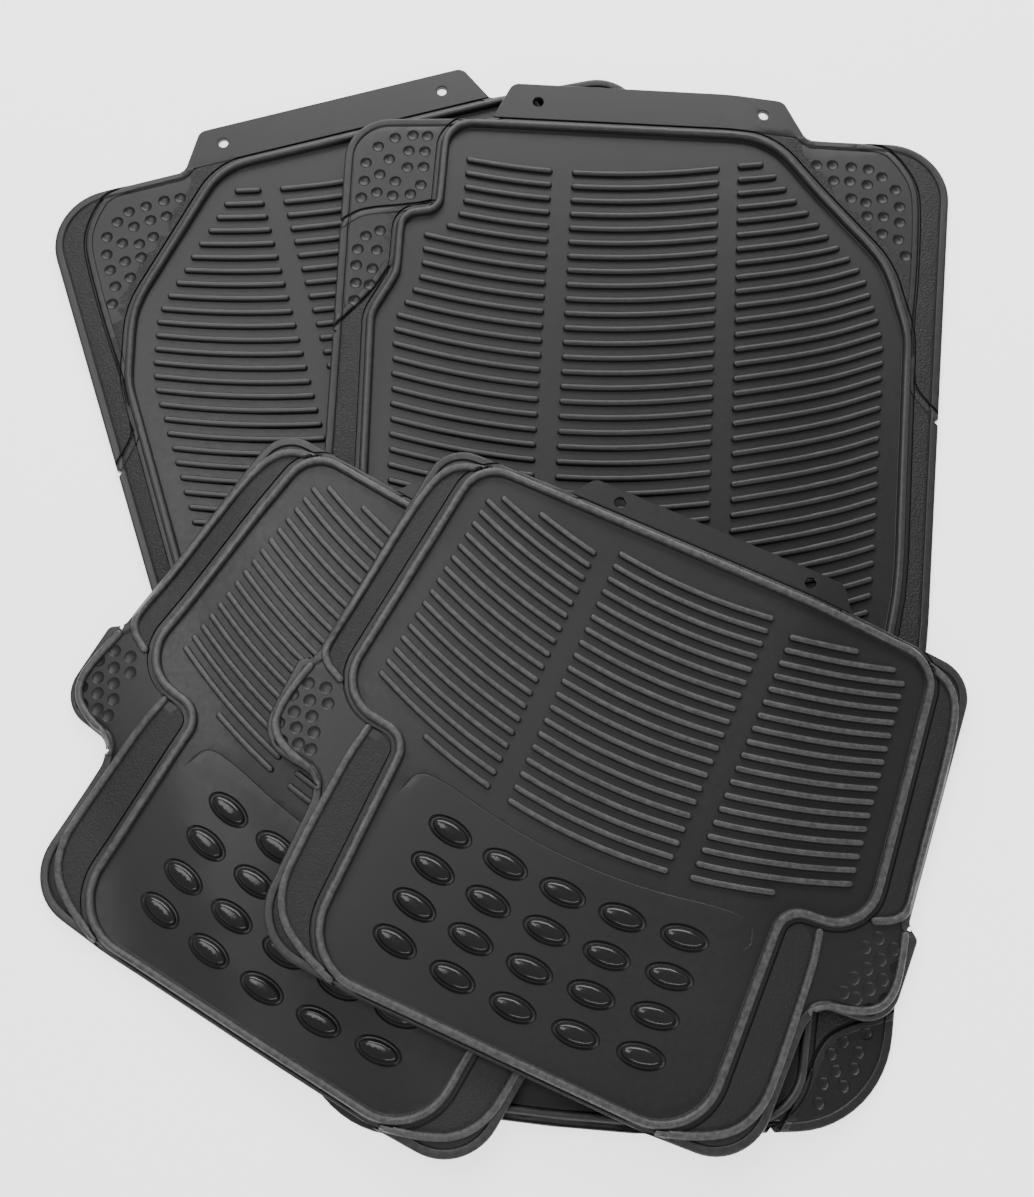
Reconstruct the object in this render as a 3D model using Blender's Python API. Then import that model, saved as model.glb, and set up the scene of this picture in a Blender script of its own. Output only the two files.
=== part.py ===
"""Four moulded rubber floor mats in a stack: two mirrored front mats and two equal rear mats.

Each mat is one moulding: a thin sheet with a raised border round its tray, cross ribs on the tray
floor and, on a rear mat, oval studs. Lower mats hold up the ones above, and an upper mat bends down
past the edge of what it lies on. Lengths below are millimetres until a mesh is made.
"""

import math

import bmesh
import bpy
from mathutils import Matrix, Vector
from mathutils.geometry import delaunay_2d_cdt

MM = 0.001

# Heights above a mat's own underside.
FLOOR_Z = 3.0
FIELD_Z = 4.5
BORDER_Z = 8.0
RIB_Z = 5.8
STUD_Z = 6.6

BORDER_WIDTH = 6.4
BORDER_SLOPE = 0.9
RIB_WIDTH = 4.2
RIB_CLEAR = 13.0
HOLE_RADIUS = 3.8
HOLE_SIDES = 10
ARC_STEP = math.radians(24)
LEAST_BAR = 12.0

# Outline of a front mat, clockwise from the left end of its tab: x, y and corner radius.
FRONT_OUTLINE = (
    (-119, 370, 5), (-105, 401, 8), (100, 401, 8), (118, 371, 9), (227, 371, 44),
    (206, 0, 400), (174, -331, 68), (16, -345, 700), (-135, -336, 70), (-219, 64, 220),
    (-227, 363, 34),
)
FRONT_TRAY = (
    (-149, 362, 18), (90, 363, 45), (175, 270, 70), (190, 215, 60), (182, 20, 300),
    (121, -262, 60), (115, -326, 34), (18, -334, 700), (-78, -329, 26), (-88, -296, 60),
    (-187, 60, 200), (-193, 205, 25), (-177, 238, 30), (-177, 284, 10), (-150, 289, 14),
)
FRONT_HOLES = ((-85, 386), (85, 387))
FRONT_GUTTERS = ((-71, -57), (53, 66))
FRONT_RIB_LOW_X = -51
FRONT_RIB_RADIUS = 540
FRONT_RIB_TOP = 328
FRONT_RIB_PITCH = 11.4
FRONT_RIB_ROWS = 57

# Right half of a rear mat's outline, from the middle of its tab downwards.
REAR_OUTLINE = (
    (92, 86, 8), (103, 70, 8), (197, 68, 26), (213, -106, 9), (222, -112, 5), (224, -173, 26),
    (178, -178, 12), (173, -192, 20), (173, -288, 38), (100, -293, 120),
)
REAR_TRAY = (
    (167, 61, 22), (186, -121, 14), (130, -127, 9), (133, -284, 36),
)
REAR_HOLES = ((-70, 77), (70, 77))
REAR_GUTTERS = ((-70, -57), (57, 70))
REAR_RIB_RADIUS = 385
REAR_RIB_TOP = 49
REAR_RIB_PITCH = 9.65
REAR_RIB_ROWS = 21
STUD_ROWS = ((-180, 82), (-206, 82.5), (-232, 83.5), (-258, 85))
STUD_RADIUS = 560
STUD_HALF_LENGTH = 11.5
STUD_HALF_WIDTH = 5.8
STUD_SIDES = 8

# Where each mat lies: x, y and turn in degrees, before the whole stack is centred on the origin.
FRONT_LEFT_AT = (-48, 4, 15.5)
FRONT_RIGHT_AT = (66, -7, -3.4)
REAR_LEFT_AT = (-43, -41, -31.0)
REAR_RIGHT_AT = (91, -39, -24.2)
STACK_CENTRE = (-22, 26.3)

# How each mat bends over what it lies on: a direction, then the height of its underside at places
# along that direction. It is level before the first place and after the last.
LAYER = 8.8
FLAT = ((1, 0), ((0, 0),))
FRONT_RIGHT_BEND = ((1, 0.03), ((160, LAYER), (223, 0)))
REAR_LEFT_BEND = (
    (-0.95, -0.31),
    ((165, 2 * LAYER), (228, LAYER), (262, LAYER), (325, 0)),
)
REAR_RIGHT_BEND = ((0.97, -0.24), ((188, 3 * LAYER), (339, 0)))


def arc_corner(before, corner, after, radius, step):
    """Points of the arc that rounds one corner of a polygon, or the corner itself."""
    to_before = (before - corner)
    to_after = (after - corner)
    turn = to_before.angle(to_after)
    if radius <= 0 or turn > math.pi - 1e-3:
        return [corner]
    reach = radius / math.tan(turn / 2)
    longest = 0.49 * min(to_before.length, to_after.length)
    if reach > longest:
        reach = longest
        radius = reach * math.tan(turn / 2)
    first = corner + to_before.normalized() * reach
    last = corner + to_after.normalized() * reach
    inward = (to_before.normalized() + to_after.normalized()).normalized()
    centre = corner + inward * radius / math.sin(turn / 2)
    swept = math.pi - turn
    count = max(1, math.ceil(swept / step))
    start = math.atan2(first.y - centre.y, first.x - centre.x)
    end = math.atan2(last.y - centre.y, last.x - centre.x)
    sweep = (end - start + math.pi) % (2 * math.pi) - math.pi
    return [
        centre + radius * Vector((math.cos(start + sweep * i / count), math.sin(start + sweep * i / count)))
        for i in range(count + 1)
    ]


def rounded(corners, step=ARC_STEP):
    """A closed polygon with each corner rounded to its radius."""
    points = []
    for i, (x, y, radius) in enumerate(corners):
        before = Vector(corners[i - 1][:2])
        after = Vector(corners[(i + 1) % len(corners)][:2])
        points += arc_corner(before, Vector((x, y)), after, radius, step)
    return points


def mirrored(half):
    """A right half, read from the top down, made whole with its mirror image."""
    return tuple(half) + tuple((-x, y, r) for x, y, r in reversed(half))


def offset_loop(loop, distance):
    """A clockwise loop moved outwards along the bisectors of its corners."""
    moved = []
    for i, point in enumerate(loop):
        ahead = (loop[(i + 1) % len(loop)] - point).normalized()
        behind = (point - loop[i - 1]).normalized()
        out_ahead = Vector((-ahead.y, ahead.x))
        out_behind = Vector((-behind.y, behind.x))
        bisector = (out_ahead + out_behind).normalized()
        moved.append(point + bisector * distance / max(0.5, bisector.dot(out_ahead)))
    return moved


def inside(point, loop):
    """True if a point is in a closed loop."""
    odd = False
    for i, a in enumerate(loop):
        b = loop[i - 1]
        if (a.y > point.y) != (b.y > point.y):
            if point.x < (b.x - a.x) * (point.y - a.y) / (b.y - a.y) + a.x:
                odd = not odd
    return odd


def edge_distance(point, loop):
    """Distance from a point to the nearest edge of a closed loop."""
    best = math.inf
    for i, a in enumerate(loop):
        along = loop[i - 1] - a
        share = max(0.0, min(1.0, (point - a).dot(along) / along.length_squared))
        best = min(best, (a + along * share - point).length)
    return best


def rib_bars(tray, low_x, radius, top, pitch, rows, gutters):
    """Ends of every rib: an arc that sags at low_x, cut at the gutters and short of the border."""
    columns = ((-math.inf, gutters[0][0]), (gutters[0][1], gutters[1][0]), (gutters[1][1], math.inf))
    bars = []
    for row in range(rows):
        for left, right in columns:
            held = []
            for x in range(-200, 201):
                point = Vector((x, top - row * pitch + (x - low_x) ** 2 / (2 * radius)))
                if left <= x <= right and inside(point, tray) and edge_distance(point, tray) > RIB_CLEAR:
                    held.append(point)
            if held and held[-1].x - held[0].x > LEAST_BAR:
                bars.append((held[0], held[-1]))
    return bars


class Sheet:
    """The top face of a mat, gathered as loops at set heights and then triangulated."""

    def __init__(self, outline, holes):
        self.points = []
        self.heights = []
        self.edges = []
        self.outline = outline
        self.holes = holes
        self.add_loop(outline, FIELD_Z)
        for hole in holes:
            self.add_loop(hole, FIELD_Z)
        self.rim_count = len(self.points)

    def add_line(self, points, height, closed):
        first = len(self.points)
        self.points += points
        self.heights += [height] * len(points)
        count = len(points)
        for i in range(count if closed else count - 1):
            self.edges.append((first + i, first + (i + 1) % count))

    def add_loop(self, points, height):
        self.add_line(points, height, True)

    def triangles(self, count, edges):
        """Triangles between the first count points, without what lies past the outline or in a hole."""
        made = delaunay_2d_cdt(self.points[:count], edges, [], 0, 1e-6)
        crossings = [tuple(point) for point, ids in zip(made[0], made[3]) if not ids]
        if crossings:
            raise ValueError(f"outlines cross at {crossings[:4]}")
        source = [ids[0] for ids in made[3]]
        kept = []
        for face in made[2]:
            corners = [source[i] for i in face]
            middle = sum((self.points[i] for i in corners), Vector((0, 0))) / 3
            if inside(middle, self.outline) and not any(inside(middle, hole) for hole in self.holes):
                kept.append(corners)
        return kept

    def mesh(self):
        """The closed mat: this face, a flat underside and the walls between them."""
        shape = bmesh.new()
        top = [shape.verts.new((p.x, p.y, z)) for p, z in zip(self.points, self.heights)]
        bottom = [shape.verts.new((p.x, p.y, 0.0)) for p in self.points[: self.rim_count]]
        rim_edges = [edge for edge in self.edges if max(edge) < self.rim_count]
        for a, b, c in self.triangles(len(self.points), self.edges):
            shape.faces.new((top[a], top[b], top[c]))
        for a, b, c in self.triangles(self.rim_count, rim_edges):
            shape.faces.new((bottom[c], bottom[b], bottom[a]))
        for a, b in rim_edges:
            shape.faces.new((top[a], top[b], bottom[b], bottom[a]))
        bmesh.ops.recalc_face_normals(shape, faces=shape.faces)
        return shape


def circle(centre, radius, sides):
    return [
        Vector((centre[0] + radius * math.cos(2 * math.pi * i / sides),
                centre[1] + radius * math.sin(2 * math.pi * i / sides)))
        for i in range(sides)
    ]


def add_border(sheet, tray):
    """The raised band round the tray: its foot on the tray floor, its flat top and its outer foot."""
    sheet.add_loop(tray, FLOOR_Z)
    sheet.add_loop(offset_loop(tray, BORDER_SLOPE), BORDER_Z)
    sheet.add_loop(offset_loop(tray, BORDER_WIDTH - BORDER_SLOPE), BORDER_Z)
    sheet.add_loop(offset_loop(tray, BORDER_WIDTH), FIELD_Z)


def add_rib(sheet, start, end):
    """One straight rib with a crest along its middle."""
    along = (end - start).normalized()
    across = Vector((-along.y, along.x)) * RIB_WIDTH / 2
    sheet.add_loop([start + across, end + across, end - across, start - across], FLOOR_Z)
    inset = along * RIB_WIDTH / 2
    sheet.add_line([start + inset, end - inset], RIB_Z, False)


def add_stud(sheet, centre, slope):
    """One oval stud that lies along the row it is in."""
    along = Vector((1, slope)).normalized()
    across = Vector((-along.y, along.x))
    for share, height in ((1.0, FLOOR_Z), (0.55, STUD_Z)):
        ring = []
        for i in range(STUD_SIDES):
            turn = 2 * math.pi * i / STUD_SIDES
            ring.append(
                centre
                + along * (STUD_HALF_LENGTH * share * math.cos(turn))
                + across * (STUD_HALF_WIDTH * share * math.sin(turn))
            )
        sheet.add_loop(ring, height)


def flipped(points):
    return [Vector((-p.x, p.y)) for p in reversed(points)]


def front_mat(mirror):
    """A front mat as a closed flat shape, mirrored for the left side."""
    outline = rounded(FRONT_OUTLINE)
    tray = rounded(FRONT_TRAY)
    bars = rib_bars(tray, FRONT_RIB_LOW_X, FRONT_RIB_RADIUS, FRONT_RIB_TOP,
                    FRONT_RIB_PITCH, FRONT_RIB_ROWS, FRONT_GUTTERS)
    holes = [circle(hole, HOLE_RADIUS, HOLE_SIDES) for hole in FRONT_HOLES]
    if mirror:
        outline = flipped(outline)
        tray = flipped(tray)
        holes = [flipped(hole) for hole in holes]
        bars = [flipped(bar) for bar in bars]
    sheet = Sheet(outline, holes)
    add_border(sheet, tray)
    for start, end in bars:
        add_rib(sheet, start, end)
    return sheet.mesh()


def rear_mat():
    """A rear mat as a closed flat shape, the same on both sides of its middle."""
    tray = rounded(mirrored(REAR_TRAY))
    holes = [circle(hole, HOLE_RADIUS, HOLE_SIDES) for hole in REAR_HOLES]
    sheet = Sheet(rounded(mirrored(REAR_OUTLINE)), holes)
    add_border(sheet, tray)
    for start, end in rib_bars(tray, 0, REAR_RIB_RADIUS, REAR_RIB_TOP,
                               REAR_RIB_PITCH, REAR_RIB_ROWS, REAR_GUTTERS):
        add_rib(sheet, start, end)
    for middle_y, reach in STUD_ROWS:
        for place in (-1, -0.5, 0, 0.5, 1):
            x = place * reach
            add_stud(sheet, Vector((x, middle_y + x * x / (2 * STUD_RADIUS))), x / STUD_RADIUS)
    return sheet.mesh()


def height_along(place, stops):
    """Height of an underside at one place along its bend direction."""
    if place <= stops[0][0]:
        return stops[0][1]
    for (s0, z0), (s1, z1) in zip(stops, stops[1:]):
        if place <= s1:
            return z0 + (z1 - z0) * (place - s0) / (s1 - s0)
    return stops[-1][1]


def lay(shape, at, bend):
    """Turns and moves a flat mat to its place, creases it at its bends and bends it down."""
    x, y, degrees = at
    turn = Matrix.Translation((x, y, 0)) @ Matrix.Rotation(math.radians(degrees), 4, "Z")
    bmesh.ops.transform(shape, matrix=turn, verts=shape.verts)
    direction = Vector((bend[0][0], bend[0][1], 0)).normalized()
    for place, _ in bend[1]:
        if len(bend[1]) > 1:
            bmesh.ops.bisect_plane(
                shape,
                geom=shape.verts[:] + shape.edges[:] + shape.faces[:],
                dist=1e-4,
                plane_co=direction * place,
                plane_no=direction,
            )
    for vert in shape.verts:
        vert.co.z += height_along(vert.co.dot(direction), bend[1])
    bmesh.ops.translate(shape, vec=(-STACK_CENTRE[0], -STACK_CENTRE[1], 0), verts=shape.verts)
    bmesh.ops.scale(shape, vec=(MM, MM, MM), verts=shape.verts)
    bmesh.ops.triangulate(shape, faces=shape.faces)


def rubber(name, shade):
    material = bpy.data.materials.new(name)
    material.use_nodes = True
    surface = material.node_tree.nodes["Principled BSDF"]
    surface.inputs["Base Color"].default_value = (shade, shade, shade, 1)
    surface.inputs["Roughness"].default_value = 0.55
    return material


def add_node(name, shape, at, bend, shade):
    lay(shape, at, bend)
    mesh = bpy.data.meshes.new(name)
    shape.to_mesh(mesh)
    shape.free()
    mesh.materials.append(rubber(name + "_rubber", shade))
    node = bpy.data.objects.new(name, mesh)
    bpy.context.scene.collection.objects.link(node)


def main():
    for old in list(bpy.data.objects):
        bpy.data.objects.remove(old)
    add_node("front_left_mat", front_mat(True), FRONT_LEFT_AT, FLAT, 0.030)
    add_node("front_right_mat", front_mat(False), FRONT_RIGHT_AT, FRONT_RIGHT_BEND, 0.034)
    add_node("rear_left_mat", rear_mat(), REAR_LEFT_AT, REAR_LEFT_BEND, 0.038)
    add_node("rear_right_mat", rear_mat(), REAR_RIGHT_AT, REAR_RIGHT_BEND, 0.042)


main()
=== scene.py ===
"""Looks of the floor mat set: four moulded rubber mats in a loose stack, on a pale studio floor.

Each mat is one moulding, made flat in millimetres from its feature lines and a height field, then
turned to its place and bent over the mats below it as its CAD node is.
"""

import math

import bpy
import numpy as np
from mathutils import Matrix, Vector, kdtree
from mathutils.geometry import delaunay_2d_cdt


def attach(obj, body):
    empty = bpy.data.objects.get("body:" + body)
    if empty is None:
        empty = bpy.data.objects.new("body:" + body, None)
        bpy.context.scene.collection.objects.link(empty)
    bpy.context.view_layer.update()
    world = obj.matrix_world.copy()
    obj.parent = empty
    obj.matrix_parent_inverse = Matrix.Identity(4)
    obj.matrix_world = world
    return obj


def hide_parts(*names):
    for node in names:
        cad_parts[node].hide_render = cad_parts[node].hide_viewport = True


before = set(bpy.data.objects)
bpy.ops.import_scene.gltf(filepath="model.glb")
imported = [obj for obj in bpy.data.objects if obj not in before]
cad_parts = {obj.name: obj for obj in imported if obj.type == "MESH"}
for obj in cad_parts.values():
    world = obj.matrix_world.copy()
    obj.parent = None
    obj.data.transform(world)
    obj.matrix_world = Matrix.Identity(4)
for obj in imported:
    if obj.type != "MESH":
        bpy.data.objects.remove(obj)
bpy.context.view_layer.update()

MM = 0.001
ARC_STEP = math.radians(7)
SPACING = 9.0
TOP_FILL_GAP = 4.8
UNDER_FILL_GAP = 7.0
LARGE = 1e6

# Heights above a mat's own underside.
FLOOR_Z = 3.0
FIELD_Z = 4.5
LEAST_Z = 2.3
RECESS_Z = 0.7

# Profiles: place across the feature, then height, or depth in a groove.
BORDER_PROFILE = (
    (-0.5, 3.0), (0.0, 3.3), (0.35, 5.6), (0.8, 7.1), (1.6, 7.85), (3.0, 8.0), (4.4, 7.85),
    (5.3, 7.2), (5.9, 5.9), (6.4, 4.5),
)
RIM_PROFILE = ((5.0, 5.3), (5.7, 4.9), (6.3, 4.1), (6.9, 4.1), (7.6, 4.5))
EDGE_PROFILE = ((0.0, 4.1), (0.35, 4.8), (1.0, 5.3), (2.0, 6.4), (3.0, 9.0))
LEDGE_GROOVE = ((8.3, 0.0), (8.6, 1.5), (9.3, 1.5), (9.7, 0.0))
STROKE_PROFILE = ((0.0, 1.7), (0.55, 1.6), (1.0, 0.35), (1.3, 0.0))
LIP_PROFILE = ((1.3, 0.35), (1.8, 0.7), (5.0, 0.7), (5.7, 0.0))
RIDGE_PROFILE = ((0.0, 7.4), (1.4, 7.3), (2.1, 6.8), (2.6, 5.6), (2.9, 4.0))
CREASE_HALF, CREASE_DEPTH = 1.0, 0.7
PANEL_HALF, PANEL_DEPTH = 0.9, 0.45
UNDER_PROFILE = ((1.0, 0.0), (6.0, 0.0), (6.8, RECESS_Z))
BORDER_IN, BORDER_OUT = BORDER_PROFILE[0][0], BORDER_PROFILE[-1][0]
STROKE_REACH = STROKE_PROFILE[-1][0]
LIP_REACH = LIP_PROFILE[-1][0]
RIDGE_REACH = RIDGE_PROFILE[-1][0]

# Rings: reach, then height; a stud has its half length, half width and height.
RIB_RINGS = ((2.35, 3.0), (2.15, 4.7), (1.7, 5.5), (0.9, 5.85))
RIB_CREST_Z = 5.95
STUD_RINGS = (
    (16.2, 8.5, 3.0), (15.6, 7.9, 2.3), (14.5, 7.0, 1.8), (13.4, 6.2, 2.0), (13.1, 5.9, 3.6),
    (12.2, 5.2, 4.9), (10.4, 4.2, 5.8), (7.6, 2.9, 6.3), (4.2, 1.4, 6.55),
)
STUD_TOP_Z = 6.6
STUD_SIDES = 30
DIMPLE_RINGS = ((4.4, 0.0), (4.1, 0.5), (3.2, 1.1), (1.8, 1.45))
DIMPLE_DEPTH = 1.55
DIMPLE_SIDES = 16
HOLE_RADIUS, HOLE_RIM_RADIUS = 3.8, 4.4
HOLE_EDGE_Z = FIELD_Z - 0.5
HOLE_SIDES = 24

# Finishes. Where the leather grain starts, the glossy part of a stud, and the heights where scuffs
# and a painted highlight lighten the raised parts.
KINDS = ("satin", "grain", "gloss")
GRAIN_FROM_TRAY, GRAIN_FROM_EDGE = 9.6, 6.3
GLOSS_HALF_LENGTH, GLOSS_HALF_WIDTH = 13.5, 6.3
SCUFF_AND_HIGHLIGHT_FROM_Z, SCUFF_AND_HIGHLIGHT_OVER = 4.9, 1.2

# The front mat's lines, about its middle: x and y, with a radius where a corner is rounded.

FRONT = {
    "outline": (
        (-119, 370, 5), (-105, 401, 8), (100, 401, 8), (118, 371, 9), (227, 371, 44),
        (206, 0, 400), (174, -331, 68), (16, -345, 700), (-135, -336, 70), (-219, 64, 220),
        (-227, 363, 34),
    ),
    "tray": (
        (-149, 362, 18), (90, 363, 45), (175, 270, 70), (190, 215, 60), (182, 20, 300),
        (121, -262, 60), (115, -326, 34), (18, -334, 700), (-78, -329, 26), (-88, -296, 60),
        (-187, 60, 200), (-193, 205, 25), (-177, 238, 30), (-177, 284, 10), (-150, 289, 14),
    ),
    "holes": ((-85, 386), (85, 387)),
    "tab_y": 371.5,
    "tab_x": 121,
    "crease": ((-117, 370.6), (117, 371.4)),
    "ribs": {"low_x": -51, "radius": 540, "top": 328, "pitch": 11.4, "rows": 57,
             "gutters": ((-71, -57), (53, 66))},
    "stud_rows": (),
    "notches": ((-224, 276), (-221, 193), (215, 153), (102, -335), (-76, -338)),
    # Grooves outside the border: points, then the side that has a raised lip.
    "strokes": (
        (((-158, 299), (-172, 295), (-207, 290), (-218, 284), (-229, 273)), 1),
        (((-186, 243), (-192, 231), (-200, 219), (-211, 206), (-225, 190)), -1),
        (((122, 371), (176, 371), (191, 356), (202, 336), (203, 311), (201, 262), (197, 222),
          (197, 200)), -1),
        (((198, 178), (200, 172), (219, 150)), -1),
        (((186, -257), (152, -268), (137, -276), (130, -286), (125, -298), (118, -313),
          (103, -340)), 1),
    ),
    "ridges": (),
    "pads": (
        ((98, 374), (112, 364), (147, 321), (178, 289), (193, 262), (200, 240), (205, 311),
         (203, 336), (191, 356), (176, 371)),
        ((-144, 375), (-158, 345), (-158, 314), (-161, 301), (-172, 295), (-207, 290),
         (-218, 284), (-240, 273), (-240, 380)),
        ((-189, 290), (-189, 262), (-188, 244), (-200, 219), (-225, 190), (-240, 190),
         (-240, 273), (-218, 284), (-207, 290)),
        ((186, -257), (152, -268), (137, -276), (130, -286), (118, -313), (103, -345),
         (200, -345), (200, -257)),
        ((-96, -297), (-90, -317), (-74, -345), (-140, -345), (-140, -290)),
    ),
    "dimples": (
        (126, 350), (138, 351), (152, 350), (165, 349), (175, 343), (139, 338), (151, 338),
        (164, 336), (185, 333), (152, 324), (163, 321), (175, 325), (188, 319), (164, 310),
        (176, 310), (188, 306), (175, 296), (187, 292), (192, 279), (-190, 349), (-177, 352),
        (-166, 352), (-202, 341), (-179, 339), (-167, 339), (-210, 327), (-193, 331),
        (-179, 325), (-167, 326), (-210, 312), (-199, 318), (-187, 313), (-200, 303),
        (-168, 311), (-211, 298), (-188, 301), (-175, 303), (-205, 267), (-195, 272),
        (-210, 256), (-196, 256), (-210, 243), (-198, 241), (-209, 229), (-199, 228),
        (-209, 215), (162, -274), (147, -280), (139, -288), (157, -286), (142, -298),
        (154, -296), (134, -306), (147, -307), (131, -318), (-105, -302), (-99, -312),
    ),
    "dimple_share": 1.0,
}


def both_sides(half):
    """A right half, read from the top down, made whole with its mirror image."""
    return tuple(half) + tuple((-p[0],) + tuple(p[1:]) for p in reversed(half))


def with_mirror(items):
    """Points of a right half, then their mirror images."""
    return tuple(items) + tuple((-p[0], p[1]) for p in items)


REAR_RIDGES = (
    ((148, 62), (176, 59), (191, 47), (198, 15), (206, -70), (210, -97), (204, -107),
     (191, -113)),
    ((213, -113), (218, -135), (219, -152), (213, -164), (199, -171), (182, -175), (173, -183)),
    ((160, -135), (162, -146), (164, -160), (167, -226), (166, -250), (156, -269), (136, -281),
     (112, -289)),
)
REAR_DIMPLES = (
    (197, -122), (209, -124), (191, -131), (203, -134), (215, -135), (197, -143), (209, -145),
    (191, -152), (203, -154), (215, -156), (197, -163), (208, -166), (188, -163),
)
REAR = {
    "outline": both_sides((
        (92, 86, 8), (103, 70, 8), (197, 68, 26), (213, -106, 9), (222, -112, 5),
        (224, -173, 26), (178, -178, 12), (173, -192, 20), (173, -288, 38), (100, -293, 120),
    )),
    "tray": both_sides((
        (167, 61, 22), (186, -121, 28), (130, -127, 20), (133, -284, 36),
    )),
    "holes": ((-70, 77), (70, 77)),
    "tab_y": 69.5,
    "tab_x": 106,
    "crease": ((-101, 69), (101, 69)),
    "ribs": {"low_x": 0, "radius": 385, "top": 49, "pitch": 9.65, "rows": 21,
             "gutters": ((-70, -57), (57, 70))},
    "stud_rows": ((-180, 82), (-206, 82.5), (-232, 83.5), (-258, 85)),
    "notches": ((214, -108), (-214, -108), (176, -184), (-176, -184)),
    "strokes": (),
    "ridges": tuple(
        tuple((side * x, y) for x, y in points) for side in (1, -1) for points in REAR_RIDGES
    ),
    "pads": (
        ((140, -128), (190, -110), (230, -100), (232, -190), (168, -190), (163, -145)),
        ((-140, -128), (-190, -110), (-230, -100), (-232, -190), (-168, -190), (-163, -145)),
    ),
    "dimples": with_mirror(REAR_DIMPLES),
    "dimple_share": 0.6,
}

# The line over the rear studs, and the studs' and ribs' own sizes.
REAR_PANEL = ((-122, -160), (-118, -147), (-100, -146), (-48, -156), (0, -159), (48, -156),
              (100, -146), (118, -147), (122, -160))
STUD_RADIUS = 560
STUD_PLACES = (-1, -0.5, 0, 0.5, 1)
RIB_CLEAR = 13.0
LEAST_BAR = 12.0

# Each mat as its CAD node lies: design, mirrored or not, its x, y and turn in degrees, the way it
# bends down, the stops of its underside along that way, and whether it is worn, with more scuffing
# and a brighter painted highlight on its raised parts.
STACK_CENTRE = (-22, 26.3)
LAYER = 8.8
BEND_EASE = 13.0
MATS = (
    ("front_left", FRONT, True, (-48, 4, 15.5), (1, 0), ((0, 0),), False),
    ("front_right", FRONT, False, (66, -7, -3.4), (1, 0.03), ((160, LAYER), (223, 0)),
     False),
    ("rear_left", REAR, False, (-43, -41, -31.0), (-0.95, -0.31),
     ((165, 2 * LAYER), (228, LAYER), (262, LAYER), (325, 0)), True),
    ("rear_right", REAR, False, (91, -39, -24.2), (0.97, -0.24),
     ((188, 3 * LAYER), (339, 0)), True),
)


# ---- plane geometry, on arrays of points in millimetres ----

def arc_corner(before, corner, after, radius):
    """Points of the arc that rounds one corner of a polygon."""
    to_before, to_after = before - corner, after - corner
    turn = to_before.angle(to_after)
    if radius <= 0 or turn > math.pi - 1e-3:
        return [corner]
    reach = radius / math.tan(turn / 2)
    longest = 0.49 * min(to_before.length, to_after.length)
    if reach > longest:
        reach = longest
        radius = reach * math.tan(turn / 2)
    first = corner + to_before.normalized() * reach
    last = corner + to_after.normalized() * reach
    inward = (to_before.normalized() + to_after.normalized()).normalized()
    centre = corner + inward * radius / math.sin(turn / 2)
    count = max(1, math.ceil((math.pi - turn) / ARC_STEP))
    start = math.atan2(first.y - centre.y, first.x - centre.x)
    end = math.atan2(last.y - centre.y, last.x - centre.x)
    sweep = (end - start + math.pi) % (2 * math.pi) - math.pi
    return [
        centre + radius * Vector((math.cos(start + sweep * i / count),
                                  math.sin(start + sweep * i / count)))
        for i in range(count + 1)
    ]


def rounded(corners):
    """A closed polygon with each corner rounded to its radius."""
    points = []
    for i, (x, y, radius) in enumerate(corners):
        before = Vector(corners[i - 1][:2])
        after = Vector(corners[(i + 1) % len(corners)][:2])
        points += arc_corner(before, Vector((x, y)), after, radius)
    return np.array([tuple(p) for p in points])


def densified(line, closed, spacing=SPACING):
    """The same line with no stretch longer than the spacing."""
    made = []
    count = len(line) if closed else len(line) - 1
    for i in range(count):
        a, b = line[i], line[(i + 1) % len(line)]
        steps = max(1, math.ceil(np.linalg.norm(b - a) / spacing))
        made += [a + (b - a) * k / steps for k in range(steps)]
    if not closed:
        made.append(line[-1])
    return np.array(made)


def offset_line(line, distance, closed):
    """A line moved to its left; a clockwise loop moves outwards."""
    if closed:
        ahead = np.roll(line, -1, axis=0) - line
        behind = line - np.roll(line, 1, axis=0)
    else:
        step = np.diff(line, axis=0)
        ahead = np.vstack((step, step[-1]))
        behind = np.vstack((step[0], step))
    ahead = ahead / np.linalg.norm(ahead, axis=1)[:, None]
    behind = behind / np.linalg.norm(behind, axis=1)[:, None]
    out_ahead = np.stack((-ahead[:, 1], ahead[:, 0]), 1)
    out_behind = np.stack((-behind[:, 1], behind[:, 0]), 1)
    bisector = out_ahead + out_behind
    bisector /= np.linalg.norm(bisector, axis=1)[:, None]
    share = np.maximum(0.5, (bisector * out_ahead).sum(1))
    return line + bisector * distance / share[:, None]


def smoothed(points, rounds=2):
    """An open line with its corners cut, twice over."""
    line = np.array(points, float)
    for _ in range(rounds):
        cut = [line[0]]
        for a, b in zip(line, line[1:]):
            cut += [a * 0.75 + b * 0.25, a * 0.25 + b * 0.75]
        cut.append(line[-1])
        line = np.array(cut)
    return line


def inside(points, loop):
    """Which points are in a closed loop."""
    odd = np.zeros(len(points), bool)
    x, y = points[:, 0], points[:, 1]
    for i in range(len(loop)):
        a, b = loop[i], loop[i - 1]
        if a[1] == b[1]:
            continue
        crosses = (a[1] > y) != (b[1] > y)
        odd ^= crosses & (x < (b[0] - a[0]) * (y - a[1]) / (b[1] - a[1]) + a[0])
    return odd


def distance_to(points, line, closed):
    """Distance from each point to a line, and which side of it the point is on: 1 is left."""
    best = np.full(len(points), np.inf)
    side = np.zeros(len(points))
    count = len(line) if closed else len(line) - 1
    for i in range(count):
        a, b = line[i], line[(i + 1) % len(line)]
        along = b - a
        away = points - a
        share = np.clip(away @ along / (along @ along), 0, 1)
        gap = np.hypot(away[:, 0] - share * along[0], away[:, 1] - share * along[1])
        nearer = gap < best
        best[nearer] = gap[nearer]
        cross = along[0] * away[:, 1] - along[1] * away[:, 0]
        side[nearer] = np.sign(cross[nearer])
    return best, side


def profile(values, stops):
    """A profile's height at each value."""
    return np.interp(values, [s[0] for s in stops], [s[1] for s in stops])


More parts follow.
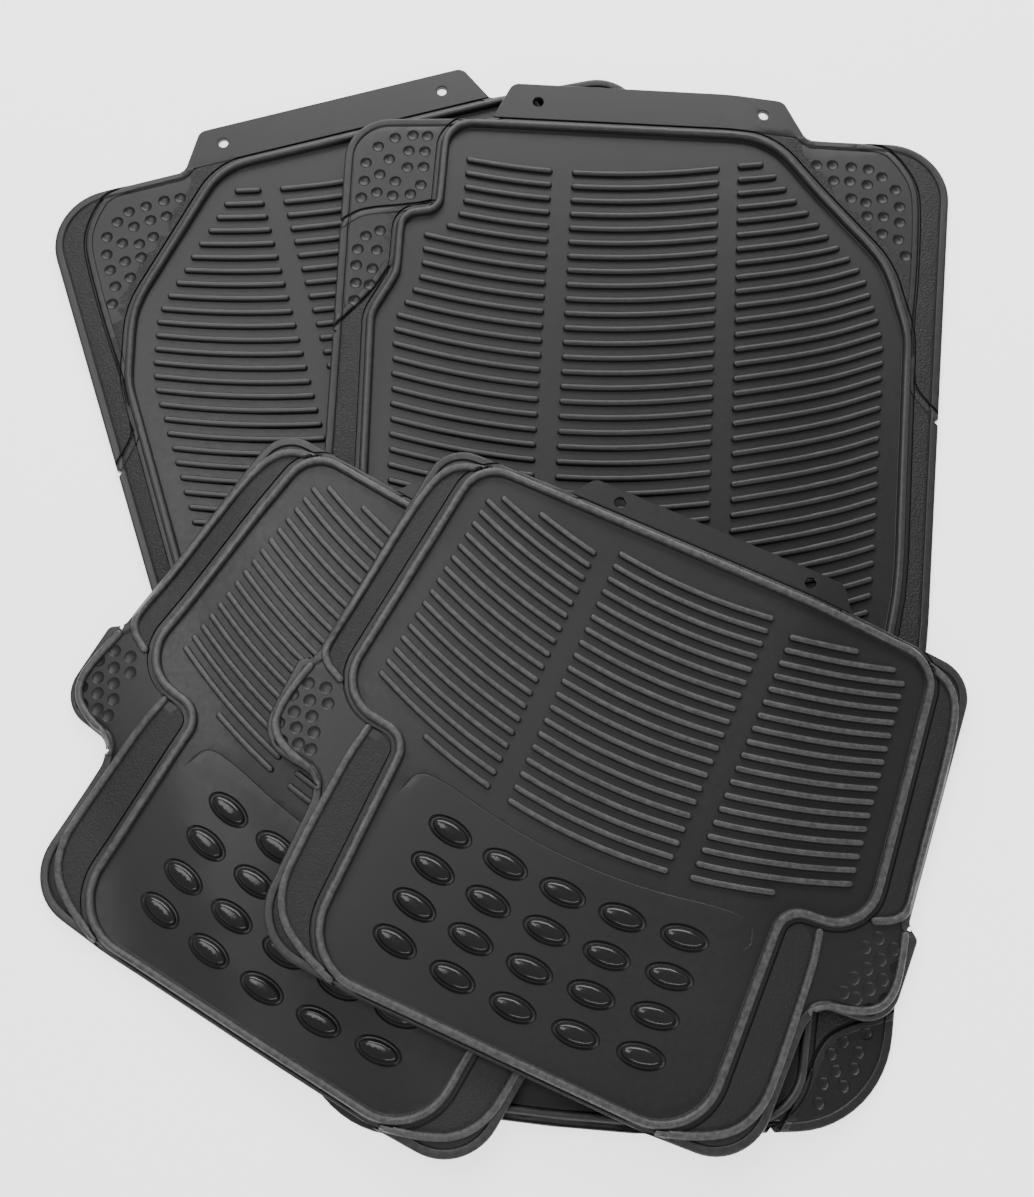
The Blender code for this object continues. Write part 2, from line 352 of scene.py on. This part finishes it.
def ellipse(centre, along, half_length, half_width, sides):
    """A closed loop, longer along the unit vector given."""
    across = np.array((-along[1], along[0]))
    turns = np.arange(sides) * 2 * math.pi / sides
    return (centre + np.outer(np.cos(turns) * half_length, along)
            + np.outer(np.sin(turns) * half_width, across))


def circle(centre, radius, sides):
    return ellipse(np.array(centre, float), np.array((1.0, 0.0)), radius, radius, sides)


def notched(loop, at, depth=3.2, half=2.6):
    """A loop with one small V cut in its edge."""
    gaps = np.hypot(*(loop - np.array(at)).T)
    i = int(gaps.argmin())
    tangent = loop[(i + 1) % len(loop)] - loop[i - 1]
    tangent /= np.linalg.norm(tangent)
    inward = np.array((tangent[1], -tangent[0]))
    cut = np.array([loop[i] - tangent * half, loop[i] + inward * depth, loop[i] + tangent * half])
    return np.vstack((loop[:i], cut, loop[i + 1:]))


# ---- one mat ----

class Face:
    """The feature lines of one side of a moulding, and its triangles."""

    def __init__(self, outline, rim, hole_loops):
        self.outline, self.rim, self.hole_loops = outline, rim, hole_loops
        self.points, self.tags, self.edges = [], [], []
        self.count = 0

    def add(self, line, closed, height=math.nan):
        """One feature line; a height of nan is worked out from the height field."""
        line = np.asarray(line, float)
        ids = np.arange(len(line)) + self.count
        following = np.roll(ids, -1)
        pairs = np.stack((ids, following), 1)
        if not closed:
            pairs = pairs[:-1]
        self.edges += [tuple(int(v) for v in pair) for pair in pairs]
        self.points.append(line)
        self.tags.append(np.full(len(line), height))
        self.count += len(line)

    def add_fill(self, gap):
        """A loose grid of points where no feature line is near, so that flat parts can bend."""
        placed = np.vstack(self.points)
        tree = kdtree.KDTree(len(placed))
        for i, (x, y) in enumerate(placed):
            tree.insert((x, y, 0), i)
        tree.balance()
        low, high = self.outline.min(0), self.outline.max(0)
        x, y = np.meshgrid(np.arange(low[0], high[0], SPACING),
                           np.arange(low[1], high[1], SPACING))
        grid = np.stack((x.ravel(), y.ravel()), 1)
        grid = grid[inside(grid, self.outline)]
        kept = [p for p in grid if tree.find((p[0], p[1], 0))[2] > gap]
        for point in kept:
            self.add([point], False)

    def triangulated(self):
        """Vertices, triangles and known heights between the feature lines, inside the rim."""
        points, tags = np.vstack(self.points), np.concatenate(self.tags)
        made = delaunay_2d_cdt([Vector(p) for p in points], self.edges, [], 0, 1e-5)
        verts = np.array([tuple(p) for p in made[0]])
        known = np.full(len(verts), math.nan)
        for i, ids in enumerate(made[3]):
            for j in ids:
                if j < len(tags) and not math.isnan(tags[j]):
                    known[i] = tags[j]
        faces = np.array([tuple(f) for f in made[2]])
        centres = verts[faces].mean(1)
        kept = inside(centres, self.rim)
        for hole in self.hole_loops:
            kept &= ~inside(centres, hole)
        faces = faces[kept]
        doubled_area = np.abs(np.cross(verts[faces[:, 1]] - verts[faces[:, 0]],
                                       verts[faces[:, 2]] - verts[faces[:, 0]]))
        return verts, faces[doubled_area > 1e-9], known


class Mat(Face):
    """The feature lines and heights of one moulding's top, and the closed moulding."""

    def __init__(self, design):
        outline = rounded(design["outline"])
        rim = densified(outline, True)
        for at in design["notches"]:
            rim = notched(rim, at)
        holes = [circle(hole, HOLE_RADIUS, HOLE_SIDES) for hole in design["holes"]]
        super().__init__(outline, rim, holes)
        self.design = design
        self.tray = rounded(design["tray"])
        self.strokes = [(smoothed(points), lip) for points, lip in design["strokes"]]
        self.ridges = [smoothed(points) for points in design["ridges"]]
        self.crease = np.array(design["crease"], float)
        self.studs = self.place_studs()
        self.panel = smoothed(REAR_PANEL) if self.studs else None

    def place_studs(self):
        """Centre and long axis of each stud, in curved rows."""
        studs = []
        for middle_y, reach in self.design["stud_rows"]:
            for place in STUD_PLACES:
                x = place * reach
                along = np.array((1, x / STUD_RADIUS))
                centre = np.array((x, middle_y + x * x / (2 * STUD_RADIUS)))
                studs.append((centre, along / np.linalg.norm(along)))
        return studs

    def on_tab(self, points):
        """Which points are on the tab that holds the anchor holes."""
        design = self.design
        return (points[:, 1] > design["tab_y"]) & (np.abs(points[:, 0]) < design["tab_x"])

    def heights(self, points):
        """Height of the top face, apart from ribs and studs."""
        from_tray, _ = distance_to(points, self.tray, True)
        from_tray[inside(points, self.tray)] *= -1
        from_edge, _ = distance_to(points, self.outline, True)
        tab = self.on_tab(points)
        height = np.where(tab, FIELD_Z, profile(from_edge, RIM_PROFILE))
        outside = from_tray > BORDER_OUT
        for line, lip in self.strokes:
            gap, side = distance_to(points, line, False)
            raise_by = np.where(side == lip, profile(gap, LIP_PROFILE), 0.0)
            raise_by[gap > LIP_REACH] = 0.0
            height = height + np.where(outside, raise_by, 0.0)
            depth = np.where(gap < STROKE_REACH, profile(gap, STROKE_PROFILE), 0.0)
            height = np.where(outside, height - depth, height)
        ledge = profile(from_tray, LEDGE_GROOVE)
        height = height - np.where(tab, 0.0, ledge)
        gap, _ = distance_to(points, self.crease, False)
        creased = outside & (gap < CREASE_HALF)
        height = height - np.where(creased, CREASE_DEPTH * (1 - gap / CREASE_HALF), 0.0)
        bowl = ((0.0, DIMPLE_DEPTH),) + DIMPLE_RINGS[::-1]
        for centre in self.design["dimples"]:
            reach = np.hypot(points[:, 0] - centre[0], points[:, 1] - centre[1])
            near = reach < DIMPLE_RINGS[0][0]
            sunk = profile(reach, bowl) * self.design["dimple_share"]
            height = height - np.where(near, sunk, 0.0)
        height = np.maximum(height, LEAST_Z)
        for line in self.ridges:
            gap, _ = distance_to(points, line, False)
            ridged = np.maximum(height, profile(gap, RIDGE_PROFILE))
            height = np.where(gap < RIDGE_REACH, ridged, height)
        band = (from_tray <= BORDER_OUT) & (from_tray > BORDER_IN)
        height = np.where(band, profile(from_tray, BORDER_PROFILE), height)
        height = np.where(from_tray <= BORDER_IN, FLOOR_Z, height)
        if self.panel is not None:
            gap, _ = distance_to(points, self.panel, False)
            lined = (from_tray < -1) & (gap < PANEL_HALF)
            height = height - np.where(lined, PANEL_DEPTH * (1 - gap / PANEL_HALF), 0)
        return np.minimum(height, profile(from_edge, EDGE_PROFILE))

    def add_ribs(self):
        """Rows of bars along arcs, in three columns, clear of the border."""
        ribs = self.design["ribs"]
        (left0, left1), (right0, right1) = ribs["gutters"]
        columns = ((-LARGE, left0), (left1, right0), (right1, LARGE))
        x = np.arange(-200, 201, dtype=float)
        for row in range(ribs["rows"]):
            rise = (x - ribs["low_x"]) ** 2 / (2 * ribs["radius"])
            points = np.stack((x, ribs["top"] - row * ribs["pitch"] + rise), 1)
            clear = inside(points, self.tray)
            clear &= distance_to(points, self.tray, True)[0] > RIB_CLEAR
            for low, high in columns:
                held = points[clear & (x >= low) & (x <= high)]
                if len(held) and held[-1, 0] - held[0, 0] > LEAST_BAR:
                    self.add_rib(held[0], held[-1], ribs)

    def add_rib(self, start, end, ribs):
        """One round-topped bar along an arc, with round ends."""
        half = RIB_RINGS[0][0]
        first, last = start[0] + half, end[0] - half
        count = max(1, math.ceil((last - first) / SPACING))
        x = np.linspace(first, last, count + 1)
        base = start[1] - (start[0] - ribs["low_x"]) ** 2 / (2 * ribs["radius"])
        slope = (x - ribs["low_x"]) / ribs["radius"]
        middle = np.stack((x, base + (x - ribs["low_x"]) ** 2 / (2 * ribs["radius"])), 1)
        normal = np.stack((-slope, np.ones_like(slope)), 1)
        normal /= np.linalg.norm(normal, axis=1)[:, None]
        for reach, height in RIB_RINGS:
            upper = middle + normal * reach
            lower = (middle - normal * reach)[::-1]
            loop = np.vstack((upper, self.cap(middle[-1], normal[-1], reach),
                              lower, self.cap(middle[0], -normal[0], reach)))
            self.add(loop, True, height)
        self.add(middle, False, RIB_CREST_Z)

    def cap(self, centre, normal, reach):
        """Points of a half circle, from the normal round to its opposite."""
        turns = np.array((0.25, 0.5, 0.75)) * math.pi
        tangent = np.array((normal[1], -normal[0]))
        return centre + reach * (np.outer(np.cos(turns), normal) + np.outer(np.sin(turns), tangent))

    def capsule(self, line, reach):
        """A closed loop at one distance round an open line."""
        left, right = offset_line(line, reach, False), offset_line(line, -reach, False)
        ends = ((line[-1], (left[-1] - line[-1]) / reach), (line[0], (right[0] - line[0]) / reach))
        far, near = (self.cap(centre, normal, reach) for centre, normal in ends)
        return np.vstack((left, far, right[::-1], near))

    def add_features(self):
        """Every line that the top face needs a vertex on."""
        self.add(self.rim, True)
        for loop in self.hole_loops:
            self.add(loop, True, HOLE_EDGE_Z)
        for hole in self.design["holes"]:
            self.add(circle(hole, HOLE_RIM_RADIUS, HOLE_SIDES), True, FIELD_Z)
        tray = densified(self.tray, True)
        for place, _ in BORDER_PROFILE + LEDGE_GROOVE:
            self.add(offset_line(tray, place, True), True)
        edge = densified(self.outline, True)
        for place, _ in EDGE_PROFILE[1:-1] + RIM_PROFILE:
            self.add(offset_line(edge, -place, True), True)
        for line, lip in self.strokes:
            line = densified(line, False)
            self.add(line, False)
            for place, _ in STROKE_PROFILE[1:]:
                self.add(offset_line(line, place, False), False)
                self.add(offset_line(line, -place, False), False)
            for place, _ in LIP_PROFILE[1:]:
                self.add(offset_line(line, place * lip, False), False)
        for line in self.ridges:
            line = densified(line, False)
            self.add(line, False)
            for reach, _ in RIDGE_PROFILE[1:]:
                self.add(self.capsule(line, reach), True)
        crease = densified(self.crease, False)
        for place in (-CREASE_HALF, 0.0, CREASE_HALF):
            self.add(offset_line(crease, place, False), False)
        for centre in self.design["dimples"]:
            for reach, _ in DIMPLE_RINGS:
                self.add(circle(centre, reach, DIMPLE_SIDES), True)
            self.add([centre], False)
        self.add_ribs()
        for centre, along in self.studs:
            for half_length, half_width, height in STUD_RINGS:
                ring = ellipse(centre, along, half_length, half_width, STUD_SIDES)
                self.add(ring, True, height)
            self.add([centre], False, STUD_TOP_Z)
        if self.panel is not None:
            line = densified(self.panel, False)
            for place in (-PANEL_HALF, 0.0, PANEL_HALF):
                self.add(offset_line(line, place, False), False)

    def underside(self, rim_points, rim_edges):
        """Vertices, triangles and heights of the flat underside, with its shallow recess."""
        under = Face(self.outline, self.rim, self.hole_loops)
        under.points.append(rim_points)
        under.tags.append(np.full(len(rim_points), RECESS_Z))
        under.edges += rim_edges
        under.count = len(rim_points)
        edge = densified(self.outline, True)
        for gap, height in UNDER_PROFILE:
            under.add(offset_line(edge, -gap, True), True, height)
        under.add_fill(UNDER_FILL_GAP)
        verts, faces, known = under.triangulated()
        return verts, faces, np.where(np.isnan(known), RECESS_Z, known)

    def build(self):
        """Local vertices and triangles of the closed moulding, top face first."""
        self.add_features()
        self.add_fill(TOP_FILL_GAP)
        verts, faces, known = self.triangulated()
        z = np.where(np.isnan(known), self.heights(verts), known)
        edges = np.vstack((faces[:, [0, 1]], faces[:, [1, 2]], faces[:, [2, 0]]))
        found = {tuple(edge) for edge in edges.tolist()}
        rim_edges = [edge for edge in found if (edge[1], edge[0]) not in found]
        rim_ids = sorted({v for edge in rim_edges for v in edge})
        place = {v: i for i, v in enumerate(rim_ids)}
        low, low_faces, low_z = self.underside(
            verts[rim_ids], [(place[a], place[b]) for a, b in rim_edges])
        start = len(verts)
        beneath = {(round(p[0], 4), round(p[1], 4)): i + start for i, p in enumerate(low)}
        walls = []
        for a, b in rim_edges:
            under_a, under_b = (beneath[round(verts[v, 0], 4), round(verts[v, 1], 4)]
                                for v in (a, b))
            walls += [(b, a, under_a), (b, under_a, under_b)]
        all_verts = np.vstack((np.column_stack((verts, z)), np.column_stack((low, low_z))))
        all_faces = np.vstack((faces, np.array(walls), low_faces[:, ::-1] + start))
        return all_verts, all_faces, len(faces)

    def finishes(self, verts, faces, top_count):
        """Place in KINDS of each triangle's finish; the underside and walls are satin."""
        finish = np.zeros(len(faces), np.int32)
        centres = verts[faces[:top_count]].mean(1)[:, :2]
        from_tray, _ = distance_to(centres, self.tray, True)
        from_edge, _ = distance_to(centres, self.outline, True)
        grained = ~inside(centres, self.tray) & ~self.on_tab(centres)
        grained &= (from_tray > GRAIN_FROM_TRAY) & (from_edge > GRAIN_FROM_EDGE)
        for pad in self.design["pads"]:
            grained &= ~inside(centres, np.array(pad, float))
        glossy = np.zeros(top_count, bool)
        for centre, along in self.studs:
            across = np.array((-along[1], along[0]))
            away = centres - centre
            glossy |= np.hypot(away @ along / GLOSS_HALF_LENGTH,
                               away @ across / GLOSS_HALF_WIDTH) < 1
        finish[:top_count][grained] = KINDS.index("grain")
        finish[:top_count][glossy] = KINDS.index("gloss")
        return finish


def bend_height(place, stops):
    """Height of an underside along its bend direction, eased at each crease."""
    if len(stops) == 1:
        return np.zeros_like(place)
    places = [s[0] for s in stops]
    levels = [s[1] for s in stops]
    offsets = np.linspace(-BEND_EASE, BEND_EASE, 9)
    weights = 1 - np.abs(offsets) / (BEND_EASE * 1.2)
    total = sum(w * np.interp(place + o, places, levels) for o, w in zip(offsets, weights))
    return total / weights.sum()


def lay(verts, at, direction, stops):
    """Flat vertices turned to their place and bent down, in metres."""
    x, y, degrees = at
    turn = math.radians(degrees)
    cos, sin = math.cos(turn), math.sin(turn)
    laid = np.empty_like(verts)
    laid[:, 0] = cos * verts[:, 0] - sin * verts[:, 1] + x
    laid[:, 1] = sin * verts[:, 0] + cos * verts[:, 1] + y
    way = np.array(direction, float) / math.hypot(*direction)
    laid[:, 2] = verts[:, 2] + bend_height(laid[:, :2] @ way, stops)
    laid[:, 0] -= STACK_CENTRE[0]
    laid[:, 1] -= STACK_CENTRE[1]
    return laid * MM


def mesh_of(name, verts, faces):
    """A smooth mesh with sharp edges where its triangles meet steeply."""
    mesh = bpy.data.meshes.new(name)
    mesh.vertices.add(len(verts))
    mesh.vertices.foreach_set("co", verts.astype(np.float32).ravel())
    mesh.loops.add(faces.size)
    mesh.loops.foreach_set("vertex_index", faces.astype(np.int32).ravel())
    mesh.polygons.add(len(faces))
    mesh.polygons.foreach_set("loop_start", np.arange(0, faces.size, 3, dtype=np.int32))
    mesh.update(calc_edges=True)
    mesh.validate()
    mesh.shade_smooth()
    mesh.set_sharp_from_angle(angle=math.radians(38))
    return mesh


# ---- finishes ----

def new_material(name):
    material = bpy.data.materials.new(name)
    material.use_nodes = True
    nodes = material.node_tree.nodes
    return material, nodes, material.node_tree.links, nodes["Principled BSDF"]


def noise(nodes, links, coordinates, scale, detail=4.0, roughness=0.55, distortion=0.0):
    made = nodes.new("ShaderNodeTexNoise")
    made.inputs["Scale"].default_value = scale
    made.inputs["Detail"].default_value = detail
    made.inputs["Roughness"].default_value = roughness
    made.inputs["Distortion"].default_value = distortion
    links.new(coordinates, made.inputs["Vector"])
    return made.outputs["Fac"]


def ranged(nodes, links, value, low, high, to_low, to_high):
    made = nodes.new("ShaderNodeMapRange")
    ends = {"From Min": low, "From Max": high, "To Min": to_low, "To Max": to_high}
    for name, number in ends.items():
        made.inputs[name].default_value = number
    links.new(value, made.inputs["Value"])
    return made.outputs["Result"]


def multiplied(nodes, links, a, b):
    made = nodes.new("ShaderNodeMath")
    made.operation = "MULTIPLY"
    links.new(a, made.inputs[0])
    links.new(b, made.inputs[1])
    return made.outputs[0]


def rubber(name, worn, kind):
    """Near-black moulded rubber: satin, leather grained or glossy; its raised parts lightened by
    scuffs and a painted highlight.
    """
    material, nodes, links, surface = new_material(name)
    coordinates = nodes.new("ShaderNodeTexCoord").outputs["Object"]
    raised = nodes.new("ShaderNodeAttribute")
    raised.attribute_name = "raised"
    broad = noise(nodes, links, coordinates, 9.0, 3.0)
    fine = noise(nodes, links, coordinates, 260.0, 4.0, 0.65)
    shade = nodes.new("ShaderNodeMix")
    shade.data_type = "RGBA"
    shade.inputs["A"].default_value = (0.0085, 0.0087, 0.0094, 1)
    top = 0.021 if worn else 0.014
    shade.inputs["B"].default_value = (top, top * 1.01, top * 1.07, 1)
    links.new(broad, shade.inputs["Factor"])
    # Raised parts made lighter: partly scuff wear, partly a painted highlight on rib, border and
    # rim tops where the light falls.
    scuff_and_highlight_noise = ranged(nodes, links, fine, 0.38, 0.72, 0.35, 0.85 if worn else 0.6)
    scuff_and_highlight_mix = nodes.new("ShaderNodeMix")
    scuff_and_highlight_mix.data_type = "RGBA"
    level = 0.01 if kind == "gloss" else 0.12 if worn else 0.07
    scuff_and_highlight_mix.inputs["B"].default_value = (level, level, level * 1.01, 1)
    links.new(multiplied(nodes, links, raised.outputs["Fac"], scuff_and_highlight_noise), scuff_and_highlight_mix.inputs["Factor"])
    links.new(shade.outputs["Result"], scuff_and_highlight_mix.inputs["A"])
    links.new(scuff_and_highlight_mix.outputs["Result"], surface.inputs["Base Color"])
    surface.inputs["Specular IOR Level"].default_value = 0.4
    low, high = {"satin": (0.34, 0.44), "grain": (0.48, 0.6), "gloss": (0.14, 0.2)}[kind]
    links.new(ranged(nodes, links, fine, 0.3, 0.7, low, high), surface.inputs["Roughness"])
    bump = nodes.new("ShaderNodeBump")
    bump.inputs["Strength"].default_value = 0.9
    if kind == "grain":
        bump.inputs["Distance"].default_value = 0.00014 if worn else 0.00028
        cells = noise(nodes, links, coordinates, 620.0, 2.0, 0.5, 0.6)
        links.new(ranged(nodes, links, cells, 0.38, 0.62, 0.0, 1.0), bump.inputs["Height"])
    else:
        bump.inputs["Distance"].default_value = 0.00002 if kind == "gloss" else 0.00005
        links.new(noise(nodes, links, coordinates, 1100.0, 3.0), bump.inputs["Height"])
    links.new(bump.outputs["Normal"], surface.inputs["Normal"])
    return material


def add_mat(name, design, mirror, at, direction, stops, worn, materials):
    """One visual piece, riding its body in place of its CAD node."""
    mat = Mat(design)
    verts, faces, top_count = mat.build()
    finish = mat.finishes(verts, faces, top_count)
    local_z = verts[:, 2].copy()
    if mirror:
        verts[:, 0] *= -1
        faces = faces[:, ::-1]
    mesh = mesh_of(name + "_moulding", lay(verts, at, direction, stops), faces)
    for kind in KINDS:
        mesh.materials.append(materials[kind, worn])
    mesh.polygons.foreach_set("material_index", finish)
    attribute = mesh.attributes.new("raised", "FLOAT", "POINT")
    # Height above the scuff line: the mask for the scuffs and the painted highlight on raised tops.
    level = np.clip((local_z - SCUFF_AND_HIGHLIGHT_FROM_Z) / SCUFF_AND_HIGHLIGHT_OVER, 0, 1)
    attribute.data.foreach_set("value", level.astype(np.float32))
    piece = bpy.data.objects.new(name + "_moulding", mesh)
    bpy.context.scene.collection.objects.link(piece)
    weighted = piece.modifiers.new("weighted_normals", "WEIGHTED_NORMAL")
    weighted.keep_sharp = True
    weighted.weight = 80
    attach(piece, name)
    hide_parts(name + "_mat")


def add_mats():
    materials = {
        (kind, worn): rubber(f"rubber_{kind}_{'worn' if worn else 'clean'}", worn, kind)
        for kind in KINDS for worn in (False, True)
    }
    for entry in MATS:
        add_mat(*entry, materials)


# ---- studio ----

def add_floor():
    mesh = bpy.data.meshes.new("studio_floor")
    half, level = 4.0, -0.0004
    corners = [(x * half, y * half, level) for x, y in ((-1, -1), (1, -1), (1, 1), (-1, 1))]
    mesh.from_pydata(corners, [], [(0, 1, 2, 3)])
    material, _, _, surface = new_material("studio_floor_paint")
    surface.inputs["Base Color"].default_value = (0.93, 0.93, 0.93, 1)
    surface.inputs["Emission Color"].default_value = (1, 1, 1, 1)
    surface.inputs["Emission Strength"].default_value = 1.8
    surface.inputs["Roughness"].default_value = 0.9
    surface.inputs["Specular IOR Level"].default_value = 0.1
    mesh.materials.append(material)
    floor = bpy.data.objects.new("studio_floor", mesh)
    bpy.context.scene.collection.objects.link(floor)


def add_light(name, size, power, place, target):
    data = bpy.data.lights.new(name, "AREA")
    data.shape = "RECTANGLE"
    data.size, data.size_y = size
    data.energy = power
    light = bpy.data.objects.new(name, data)
    light.location = place
    aim = Vector(target) - Vector(place)
    light.rotation_euler = aim.to_track_quat("-Z", "Y").to_euler()
    bpy.context.scene.collection.objects.link(light)


def add_studio():
    add_floor()
    world = bpy.data.worlds.new("studio_world")
    world.use_nodes = True
    background = world.node_tree.nodes["Background"]
    background.inputs["Color"].default_value = (1, 1, 1, 1)
    background.inputs["Strength"].default_value = 0.42
    bpy.context.scene.world = world
    add_light("back_softbox", (2.2, 0.9), 48, (0.1, 1.8, 1.2), (0, 0.1, 0))
    add_light("top_softbox", (1.2, 1.2), 22, (-0.8, 0.6, 2.2), (0, 0, 0))
    add_light("front_strip", (1.8, 0.25), 9, (0.3, -1.5, 0.8), (0, -0.1, 0))


def add_camera():
    data = bpy.data.cameras.new("main_camera")
    data.sensor_width = 36.0
    data.lens = 45.1
    camera = bpy.data.objects.new("main_camera", data)
    camera.location = (0.010, -0.296, 1.0065)
    camera.rotation_euler = (math.radians(15), 0, 0)
    bpy.context.scene.collection.objects.link(camera)
    bpy.context.scene.camera = camera


add_mats()
add_studio()
add_camera()
bpy.context.view_layer.update()
